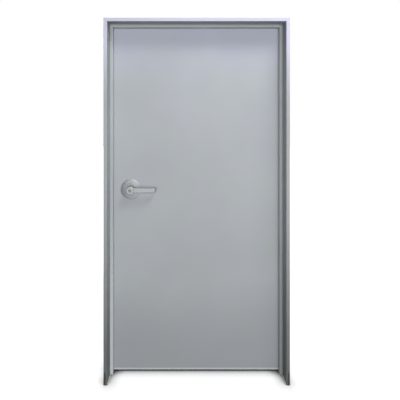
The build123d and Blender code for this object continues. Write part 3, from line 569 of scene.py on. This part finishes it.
def leaf_paint(paint):
    """Paint of the leaf: a lighter, bluer top, which is painted light, darker paint towards the bottom, faint
    hand marks by the lever and upright scuffs above the shoe."""
    finish = Finish("leaf_paint")
    # Painted light: the leaf's paint turns lighter and bluer towards the top.
    colour = finish.tinted(paint.leaf_colour, finish.ramp(finish.z, 1.6, 2.0), (1.08, 1.08, 1.18))
    tone, roughness, height = sprayed_paint(finish, colour, paint)
    away = finish.length(finish.x - (lever_axis.x + 0.09), 0.0, (finish.z - lever_axis.z) * 0.8)
    hands = (1 - finish.ramp(away, 0.05, 0.24)) * finish.ramp(finish.noise(16.0, detail=4.0), 0.45, 0.7)
    streaks = finish.noise(1.0, finish.join(finish.x * 90.0, finish.y * 90.0, finish.z * 9.0), 3.0)
    kicks = (1 - finish.ramp(finish.z, 0.02, 0.45)) * finish.ramp(streaks, 0.58, 0.74)
    # Darker towards the bottom.
    low_darkening = 1 - finish.ramp(finish.z, 0.15, 0.6)
    tone = finish.mix(low_darkening * 0.5, tone, tint(paint.leaf_colour, 0.74))
    tone = finish.mix(hands * 0.08, tone, tint(paint.leaf_colour, 0.7))
    tone = finish.mix(kicks * 0.12, tone, tint(paint.leaf_colour, 0.6))
    return finish.paint(height, base_color=tone, roughness=roughness - hands * 0.06 + kicks * 0.1,
                        specular_ior_level=PAINT_GLOSS)


def shoe_paint(paint):
    """The channel under the leaf, painted bright as a painted highlight along its lit edge, with rubbed lines
    along its length.
    """
    finish = Finish("shoe_paint")
    tone, roughness, height = sprayed_paint(finish, paint.shoe_highlight_colour, paint)
    rub = finish.noise(1.0, finish.join(finish.x * 30.0, finish.y * 300.0, finish.z * 300.0), 3.0)
    tone = finish.mix(finish.ramp(rub, 0.55, 0.7) * 0.3, tone, tint(paint.shoe_highlight_colour, 0.6))
    return finish.paint(height, base_color=tone, roughness=roughness, specular_ior_level=PAINT_GLOSS)


def metal_lines(finish, lines, colour, roughness, metallic):
    """Satin metal from a noise of fine lines: the lines vary its tone, its roughness and its relief."""
    stain = finish.noise(30.0, detail=3.0)
    tone = finish.mix(finish.ramp(lines, 0.35, 0.65), tint(colour, 0.87), tint(colour, 1.08))
    tone = finish.mix(finish.ramp(stain, 0.55, 0.75) * 0.2, tone, tint(colour, 0.75))
    return finish.paint(lines * 0.012 * MM, base_color=tone, metallic=metallic,
                        roughness=roughness + (lines - 0.5) * 0.2 + (stain - 0.5) * 0.1)


def brushed(name, colour, metal, along, roughness=0.36, metallic=0.9):
    """Metal brushed along an axis, 0 for X, 1 for Y and 2 for Z: noise stretched that way."""
    finish = Finish(name)
    fine = 1.0 / metal.scratch_size
    parts = [part * (fine / BRUSH_STRETCH if axis == along else fine)
             for axis, part in enumerate((finish.x, finish.y, finish.z))]
    return metal_lines(finish, finish.noise(1.0, finish.join(*parts)), colour, roughness, metallic)


def turned_metal(name, colour, metal, roughness, metallic=0.9):
    """Metal turned about the lever's axis: noise that changes only with the distance from the axis and
    along it, so its lines are rings."""
    finish = Finish(name)
    fine = 1.0 / metal.scratch_size
    away = finish.length(finish.x - lever_axis.x, 0.0, finish.z - lever_axis.z)
    rings = finish.noise(1.0, finish.join(away * fine, finish.y * fine, 0.0))
    return metal_lines(finish, rings, colour, roughness, metallic)


def plain_zinc(metal):
    """Zinc plate with a few rusty blots."""
    finish = Finish("zinc_plate")
    tone, roughness = zinc(finish, metal)
    rust = finish.ramp(finish.noise(22.0, detail=5.0), 0.66, 0.75) * 0.25
    height = finish.noise(300.0) * 0.01 * MM
    tone = finish.mix(rust, tone, metal.rust_colour)
    return finish.paint(height, base_color=tone, roughness=roughness + rust * 0.3, metallic=0.85)


def rubber(seal):
    """Black rubber with a fine grain and a grey bloom."""
    finish = Finish("seal_rubber")
    bloom = finish.noise(12.0, detail=4.0)
    grey = tint(seal.rubber_colour, 2.6)
    tone = finish.mix(finish.ramp(bloom, 0.45, 0.75) * 0.5, seal.rubber_colour, grey)
    height = finish.noise(1500.0) * 0.02 * MM
    return finish.paint(height, base_color=tone, roughness=0.62 + (bloom - 0.5) * 0.2)


def fibre(core_colour):
    """Mineral fibre, laid in flat strands."""
    finish = Finish("mineral_core")
    strands = finish.noise(1.0, finish.join(finish.x * 240.0, finish.y * 1400.0, finish.z * 240.0), 4.0)
    tone = finish.mix(finish.ramp(strands, 0.35, 0.65), tint(core_colour, 0.75), tint(core_colour, 1.2))
    return finish.paint(strands * 0.2 * MM, base_color=tone, roughness=0.9 + (strands - 0.5) * 0.1)


def sealant(weld):
    """Smooth sealant with grime on it."""
    finish = Finish("foot_sealant")
    grime = finish.ramp(finish.noise(60.0, detail=3.0), 0.5, 0.7)
    tone = finish.mix(grime * 0.3, weld.sealant_colour, tint(weld.sealant_colour, 0.6))
    return finish.paint(finish.noise(120.0) * 0.2 * MM, base_color=tone, roughness=0.5 + grime * 0.2)


# Meshes from arrays.
def grid_faces(rows, columns):
    """Quads of a grid of points, row by row, with the last column joined to the first."""
    row = np.arange(rows - 1)[:, None]
    column = np.arange(columns)[None, :]
    after = (column + 1) % columns
    corners = [row * columns + column, row * columns + after,
               (row + 1) * columns + after, (row + 1) * columns + column]
    return np.stack(corners, -1).reshape(-1, 4)


def add_piece(name, points, quads, material, body, caps=()):
    """Make one mesh from an array of points, smooth quads and flat end caps, turn its faces outwards, give it
    its finish and name the body that carries it."""
    mesh = bpy.data.meshes.new(name)
    mesh.from_pydata(points.reshape(-1, 3).tolist(), [], quads.tolist() + [list(cap) for cap in caps])
    mesh.validate()
    shell = bmesh.new()
    shell.from_mesh(mesh)
    bmesh.ops.recalc_face_normals(shell, faces=shell.faces)
    shell.to_mesh(mesh)
    shell.free()
    sizes = np.empty(len(mesh.polygons), np.int32)
    mesh.polygons.foreach_get("loop_total", sizes)
    mesh.polygons.foreach_set("use_smooth", sizes <= 4)
    mesh.materials.append(material)
    piece = bpy.data.objects.new(name, mesh)
    bpy.context.scene.collection.objects.link(piece)
    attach(piece, body)
    return piece


def solids(node, gap):
    """The points of each separate solid of a node, whose solids stand above each other by at least a gap."""
    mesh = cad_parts[node].data
    points = np.empty(len(mesh.vertices) * 3, np.float32)
    mesh.vertices.foreach_get("co", points)
    points = points.reshape(-1, 3)
    points = points[points[:, 2].argsort()]
    return np.split(points, np.flatnonzero(np.diff(points[:, 2]) > gap) + 1)


def seal_surface(low, high, along, base, count):
    """A smoke seal in its box. A point goes once round the section; its side is a flattened cosine, and
    above its flat underside the height is the base plus the larger of a round bulb over the middle and a
    small lip near each edge. The section is carried straight along one axis."""
    across = 2 if along == 0 else 0
    turn = np.linspace(0, 2 * np.pi, count, endpoint=False)
    half = (high[across] - low[across]) / 2
    side = np.sign(np.cos(turn)) * np.abs(np.cos(turn)) ** SEAL_SQUARENESS
    bulb = np.clip(1 - (side / BULB_HALF) ** 2, 0, None) ** 0.5
    lip = LIP_HEIGHT * np.exp(-((np.abs(side) - LIP_PLACE) / LIP_SPREAD) ** 2)
    full = high[1] - low[1]
    height = np.where(np.sin(turn) > 0, base + (full - base) * np.maximum(bulb, lip), 0)
    points = np.empty((2, count, 3))
    points[..., along] = np.array([[low[along]], [high[along]]])
    points[..., across] = (low[across] + high[across]) / 2 + side * half
    points[..., 1] = low[1] + height
    return points


def soft_edge(value, limit, soft):
    """1 inside a limit on both sides of 0 and 0 outside, with an edge this soft."""
    return np.clip((limit - np.abs(value)) / soft + 0.5, 0, 1)


def screw_surface(points, settings):
    """A countersunk screw in the box of its CAD solid, as rings about its axis, which runs along X.
    The rings go over the flat head, where two crossed slots sink in and grow shallow outwards, then down
    the cone and along the thread, whose radius goes up and down every half pitch."""
    low, high = points.min(0), points.max(0)
    centre = (low + high) / 2
    wide = np.hypot(points[:, 1] - centre[1], points[:, 2] - centre[2])
    end_width = [wide[np.abs(points[:, 0] - end) < END_SLICE].max() for end in (low[0], high[0])]
    outer, shank = max(end_width), min(end_width)
    head_at_low = end_width[0] > end_width[1]
    length = high[0] - low[0]
    turn = np.linspace(0, 2 * np.pi, settings.round_points, endpoint=False)
    radius = np.linspace(HEAD_MIDDLE, 1.0, HEAD_RINGS)[:, None] * outer
    a, b = radius * np.cos(turn), radius * np.sin(turn)
    arm, reach, soft = settings.slot_width / 2, CROSS_REACH * outer, CROSS_SOFTNESS
    cross = np.maximum(soft_edge(a, arm, soft) * soft_edge(b, reach, soft),
                       soft_edge(b, arm, soft) * soft_edge(a, reach, soft))
    shallow = np.clip(CROSS_MIDDLE - CROSS_RISE * radius / reach, 0, 1)
    sink = settings.slot_depth * cross * shallow
    cone = outer - shank
    turns = np.arange(cone + settings.thread_pitch / 4, length, settings.thread_pitch / 2)
    thread = shank * (1 - THREAD_DEPTH * (np.arange(len(turns)) % 2))
    down = np.concatenate([[HEAD_RIM, cone], turns, [length]])[:, None] + 0 * turn
    wall = np.concatenate([[outer, shank], thread, [shank * SCREW_POINT]])[:, None]
    body = np.stack([down, wall * np.cos(turn), wall * np.sin(turn)], -1)
    rings = np.concatenate([np.stack([sink, a, b], -1), body])
    rings[..., 0] = low[0] + rings[..., 0] if head_at_low else high[0] - rings[..., 0]
    return rings + np.array([0.0, centre[1], centre[2]])


def bead_surface(start, end, radius, ripple, swelling):
    """A bead from start to end: a round rod whose radius swells once for each ripple, and narrows to a
    seventh at both ends, by the root of one less the eighth power of the distance from its middle."""
    start, end = np.asarray(start), np.asarray(end)
    length = np.linalg.norm(end - start)
    share = np.linspace(0, 1, max(12, int(length / ripple) * BEAD_STEPS))[:, None, None]
    swell = np.clip(1 - (2 * share - 1) ** BEAD_END_POWER, BEAD_END, 1) ** 0.5
    swell = swell * (1 + swelling * np.sin(2 * np.pi * share * length / ripple))
    forward = (end - start) / length
    side = np.cross(forward, [0.0, 0.0, 1.0])
    up = np.cross(forward, side)
    turn = np.linspace(0, 2 * np.pi, BEAD_SIDES, endpoint=False)[:, None]
    around = np.cos(turn) * side + np.sin(turn) * up
    return start + share * (end - start) + radius * swell * around


def joined(grids):
    """One array of points, its quads and its end caps from several grids of closed rings."""
    quads, caps, first = [], [], 0
    for grid in grids:
        rows, columns = grid.shape[:2]
        quads.append(grid_faces(rows, columns) + first)
        last = first + (rows - 1) * columns
        caps += [range(first, first + columns), range(last, last + columns)]
        first = last + columns
    return np.concatenate([grid.reshape(-1, 3) for grid in grids]), np.concatenate(quads), caps


# The operators, one for each piece or group of like pieces.
class FIREDOOR_OT_paint_frame(bpy.types.Operator):
    """Paint the jambs and the head, with zinc on the side that faces the wall"""

    bl_idname = "fire_door.paint_frame"
    bl_label = "Paint the frame"

    def execute(self, context):
        scene = context.scene
        dress(frame_paint(scene.fire_door_paint, scene.fire_door_metal), *JAMBS, "frame_head")
        return {"FINISHED"}


class FIREDOOR_OT_paint_leaf(bpy.types.Operator):
    """Paint the two skins, the top channel and the shoe of the leaf"""

    bl_idname = "fire_door.paint_leaf"
    bl_label = "Paint the leaf"

    def execute(self, context):
        paint = context.scene.fire_door_paint
        dress(leaf_paint(paint), *SKINS, "leaf_top_channel")
        dress(shoe_paint(paint), "leaf_bottom_shoe")
        return {"FINISHED"}


class FIREDOOR_OT_finish_levers(bpy.types.Operator):
    """Give levers, roses and turn button their satin metal, and the key plug its nickel"""

    bl_idname = "fire_door.finish_levers"
    bl_label = "Finish the levers"

    def execute(self, context):
        metal = context.scene.fire_door_metal
        lever = brushed("satin_lever", metal.satin_colour, metal, along=0, roughness=0.44, metallic=0.72)
        rose = turned_metal("satin_rose", metal.satin_colour, metal, roughness=0.5, metallic=0.62)
        plug = turned_metal("nickel_plug", metal.nickel_colour, metal, roughness=0.3)
        dress(lever, "outer_lever", "inner_lever")
        dress(rose, "outer_rose", "inner_rose", "turn_button")
        dress(plug, "key_plug")
        return {"FINISHED"}


class FIREDOOR_OT_finish_fittings(bpy.types.Operator):
    """Give hinges, strike and latch their brushed steel"""

    bl_idname = "fire_door.finish_fittings"
    bl_label = "Finish hinges and latch"

    def execute(self, context):
        metal = context.scene.fire_door_metal
        steel = brushed("hinge_steel", metal.steel_colour, metal, along=2)
        for height in HEIGHTS:
            dress(steel, *(f"hinge_{height}_{part}" for part in ("frame_plate", "leaf_plate", "pin")))
        dress(steel, "strike_plate", "latch_faceplate")
        dress(brushed("latch_steel", metal.steel_colour, metal, along=0, roughness=0.28), "latch_bolt")
        return {"FINISHED"}


class FIREDOOR_OT_finish_hidden_steel(bpy.types.Operator):
    """Give anchors, brackets, reinforcements, lock parts and core their finish"""

    bl_idname = "fire_door.finish_hidden_steel"
    bl_label = "Finish hidden parts"

    def execute(self, context):
        scene = context.scene
        plate = plain_zinc(scene.fire_door_metal)
        for side in ("lock_side", "hinge_side"):
            dress(plate, f"corner_brackets_{side}", f"floor_anchor_{side}", f"wall_anchors_{side}")
        for height in HEIGHTS:
            dress(plate, f"hinge_{height}_frame_reinforcement", f"hinge_{height}_leaf_reinforcement")
        dress(plate, "strike_box", "strike_reinforcement", "lock_reinforcement", "latch_tube", "latch_spring",
              "lock_chassis", "spindle", "latch_cam", "retractor", "through_bolts",
              "outer_rose_mount", "inner_rose_mount")
        dress(fibre(scene.fire_door_metal.core_colour), "leaf_core")
        return {"FINISHED"}


class FIREDOOR_OT_lay_seals(bpy.types.Operator):
    """Lay the rubber smoke seals on the stops"""

    bl_idname = "fire_door.lay_seals"
    bl_label = "Lay the seals"

    def execute(self, context):
        seal = context.scene.fire_door_seal
        material = rubber(seal)
        for node in SEALS:
            low, high = (np.array(corner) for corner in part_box(node))
            along = 0 if node == "seal_head" else 2
            count = seal.round_points
            points = seal_surface(low, high, along, seal.base_height, count)
            ends = (range(count), range(count, 2 * count))
            quads = grid_faces(2, count)
            piece = add_piece(f"{node}_rubber", points, quads, material, "frame", ends)
            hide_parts(node)
        return {"FINISHED"}


class FIREDOOR_OT_drive_screws(bpy.types.Operator):
    """Put cross-head screws in hinges, strike and latch plate"""

    bl_idname = "fire_door.drive_screws"
    bl_label = "Drive the screws"

    def execute(self, context):
        scene = context.scene
        settings = scene.fire_door_screw
        metal = scene.fire_door_metal
        steel = brushed("screw_steel", tint(metal.steel_colour, 1.05), metal, along=1, roughness=0.3)
        for node, body in SCREWS.items():
            rings = [screw_surface(solid, settings) for solid in solids(node, SCREW_GAP)]
            if not rings:
                raise RuntimeError(f"{node} has no screws")
            points, quads, caps = joined(rings)
            piece = add_piece(f"{node}_cross_head", points, quads, steel, body, caps)
            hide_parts(node)
        return {"FINISHED"}


class FIREDOOR_OT_weld_anchors(bpy.types.Operator):
    """Weld the wall straps to the trims with short rippled beads"""

    bl_idname = "fire_door.weld_anchors"
    bl_label = "Weld the anchors"

    def execute(self, context):
        scene = context.scene
        weld = scene.fire_door_weld
        metal = scene.fire_door_metal
        material = brushed("weld_steel", tint(metal.steel_colour, 0.6), metal, along=2, roughness=0.45)
        for side, outwards in (("lock_side", -1), ("hinge_side", 1)):
            beads = []
            for strap in solids(f"wall_anchors_{side}", STRAP_GAP):
                low, high = strap.min(0), strap.max(0)
                lip = low[0] if outwards > 0 else high[0]
                near = lip + outwards * weld.bead_start
                far = lip + outwards * (weld.bead_start + weld.bead_length)
                for y in (low[1], high[1]):
                    for z in (low[2], high[2]):
                        bead = bead_surface((near, y, z), (far, y, z), weld.bead_radius,
                                            weld.ripple, WELD_SWELLING)
                        bead[..., 1] = np.clip(bead[..., 1], low[1], high[1])
                        beads.append(bead)
            points, quads, caps = joined(beads)
            add_piece(f"welds_{side}", points, quads, material, "frame", caps)
        return {"FINISHED"}


class FIREDOOR_OT_seal_feet(bpy.types.Operator):
    """Run a thin bead of sealant along the foot of each jamb's reveal"""

    bl_idname = "fire_door.seal_feet"
    bl_label = "Seal the feet"

    def execute(self, context):
        weld = context.scene.fire_door_weld
        material = sealant(weld)
        radius = weld.sealant_radius
        for side, name in ((-1, "lock_side"), (1, "hinge_side")):
            x = side * (reveal_side - SEALANT_SUNK * radius)
            ends = ((x, face_y + MM, radius / 2), (x, -STOP_DEPTH / 2, radius / 2))
            bead = bead_surface(*ends, radius, weld.sealant_ripple, SEALANT_SWELLING)
            bead[..., 2] = np.maximum(bead[..., 2], 0)
            points, quads, caps = joined([bead])
            add_piece(f"foot_sealant_{name}", points, quads, material, "frame", caps)
        return {"FINISHED"}


class FIREDOOR_OT_set_stage(bpy.types.Operator):
    """Set the pale floor, the studio lamps and the camera"""

    bl_idname = "fire_door.set_stage"
    bl_label = "Set the stage"

    def execute(self, context):
        scene = context.scene
        stage = scene.fire_door_stage
        scene.view_settings.view_transform = "Standard"
        self.lay_floor(scene, stage)
        self.light_room(scene, stage)
        for name, (place, size, in_gloss) in LAMPS.items():
            add_lamp(scene, name, place, size, getattr(stage, f"{name}_power"), in_gloss)
        self.place_camera(scene)
        return {"FINISHED"}

    def lay_floor(self, scene, stage):
        """A pale floor. The camera sees it lit, with dark contact under the object and white further out;
        to other rays it is dim, so that it lights the object from below no more than a dull floor does."""
        mesh = bpy.data.meshes.new("floor")
        reach = stage.floor_reach
        corners = [(-reach, -reach, 0), (reach, -reach, 0), (reach, reach, 0), (-reach, reach, 0)]
        mesh.from_pydata(corners, [], [(0, 1, 2, 3)])
        floor = bpy.data.objects.new("floor", mesh)
        scene.collection.objects.link(floor)
        finish = Finish("pale_floor")
        far = finish.ramp(finish.length(finish.x, finish.y, 0.0), *FLOOR_FADE)
        open_floor = finish.add("ShaderNodeAmbientOcclusion", {"samples": 16},
                                {"Distance": CONTACT_REACH}, "AO")
        glow = (open_floor ** CONTACT_POWER * FLOOR_GLOW).larger(far)
        tone = finish.mix(finish.noise(40.0), stage.floor_colour, tint(stage.floor_colour, 1.02))
        tone = finish.mix(finish.ramp(open_floor, *CONTACT_FADE), CONTACT_COLOUR, tone)
        pale = finish.add("ShaderNodeBsdfDiffuse", None, {"Color": tone})
        dim = finish.add("ShaderNodeBsdfDiffuse", None, {"Color": DIM_FLOOR})
        white = finish.add("ShaderNodeEmission", None, {"Color": WHITE, "Strength": FLOOR_WHITE})
        shown = finish.add("ShaderNodeMixShader", None, {0: glow, 1: pale, 2: white})
        seen = finish.add("ShaderNodeMixShader", None, {0: finish.seen_directly(), 1: dim, 2: shown})
        mesh.materials.append(finish.end(seen))

    def light_room(self, scene, stage):
        """Even light from all round; what the camera, gloss and glass see of the room is white."""
        scene.world = bpy.data.worlds.new("studio")
        room = Nodes(scene.world)
        light = room.add("ShaderNodeBackground", None, {"Color": ROOM_COLOUR, "Strength": stage.ambient})
        white = room.add("ShaderNodeBackground", None, {"Color": WHITE, "Strength": 1.0})
        seen = room.add("ShaderNodeMixShader", None, {0: room.seen_directly(), 1: light, 2: white})
        room.add("ShaderNodeOutputWorld", None, {"Surface": seen})

    def place_camera(self, scene):
        """A level camera at eye height; its lens is shifted to where the picture is cut."""
        data = bpy.data.cameras.new("camera")
        data.sensor_width = sensor_width
        data.lens = focal_pixels / picture_width * sensor_width
        data.shift_x = (picture_width / 2 - eye_pixel[0]) / picture_width
        data.shift_y = (eye_pixel[1] - picture_width / 2) / picture_width
        camera = bpy.data.objects.new("camera", data)
        camera.location = eye
        camera.rotation_euler = (math.radians(90), 0, 0)
        scene.collection.objects.link(camera)
        scene.camera = camera


def add_lamp(scene, name, place, size, power, in_gloss):
    """A soft rectangular lamp that looks at the door's middle and shows in gloss or stays out of it."""
    data = bpy.data.lights.new(name, "AREA")
    data.shape = "RECTANGLE"
    data.size, data.size_y = size
    data.energy = power
    lamp = bpy.data.objects.new(name, data)
    lamp.location = place
    lamp.visible_glossy = in_gloss
    lamp.rotation_euler = (Vector(LAMP_AIM) - Vector(place)).to_track_quat("-Z", "Y").to_euler()
    scene.collection.objects.link(lamp)


OPERATORS = (
    FIREDOOR_OT_paint_frame,
    FIREDOOR_OT_paint_leaf,
    FIREDOOR_OT_finish_levers,
    FIREDOOR_OT_finish_fittings,
    FIREDOOR_OT_finish_hidden_steel,
    FIREDOOR_OT_lay_seals,
    FIREDOOR_OT_drive_screws,
    FIREDOOR_OT_weld_anchors,
    FIREDOOR_OT_seal_feet,
    FIREDOOR_OT_set_stage,
)
SETTINGS = {
    "fire_door_paint": FireDoorPaint,
    "fire_door_metal": FireDoorMetal,
    "fire_door_seal": FireDoorSeal,
    "fire_door_screw": FireDoorScrew,
    "fire_door_weld": FireDoorWeld,
    "fire_door_stage": FireDoorStage,
}


class FIREDOOR_PT_panel(bpy.types.Panel):
    """Lists the door's operators and their settings"""

    bl_idname = "FIREDOOR_PT_panel"
    bl_label = "Fire Door"
    bl_space_type = "VIEW_3D"
    bl_region_type = "UI"
    bl_category = "Fire Door"

    def draw(self, context):
        layout = self.layout
        for name, group in SETTINGS.items():
            box = layout.box()
            settings = getattr(context.scene, name)
            for prop in group.__annotations__:
                box.prop(settings, prop)
        for operator in OPERATORS:
            layout.operator(operator.bl_idname)


def register():
    for group in SETTINGS.values():
        bpy.utils.register_class(group)
    for name, group in SETTINGS.items():
        setattr(bpy.types.Scene, name, PointerProperty(type=group))
    for made in (*OPERATORS, FIREDOOR_PT_panel):
        bpy.utils.register_class(made)


def unregister():
    for made in reversed((*OPERATORS, FIREDOOR_PT_panel)):
        bpy.utils.unregister_class(made)
    for name in SETTINGS:
        delattr(bpy.types.Scene, name)
    for group in reversed(SETTINGS.values()):
        bpy.utils.unregister_class(group)


def main():
    register()
    bpy.ops.fire_door.paint_frame()
    bpy.ops.fire_door.paint_leaf()
    bpy.ops.fire_door.finish_levers()
    bpy.ops.fire_door.finish_fittings()
    bpy.ops.fire_door.finish_hidden_steel()
    bpy.ops.fire_door.lay_seals()
    bpy.ops.fire_door.drive_screws()
    bpy.ops.fire_door.weld_anchors()
    bpy.ops.fire_door.seal_feet()
    bpy.ops.fire_door.set_stage()


if __name__ == "__main__":
    main()
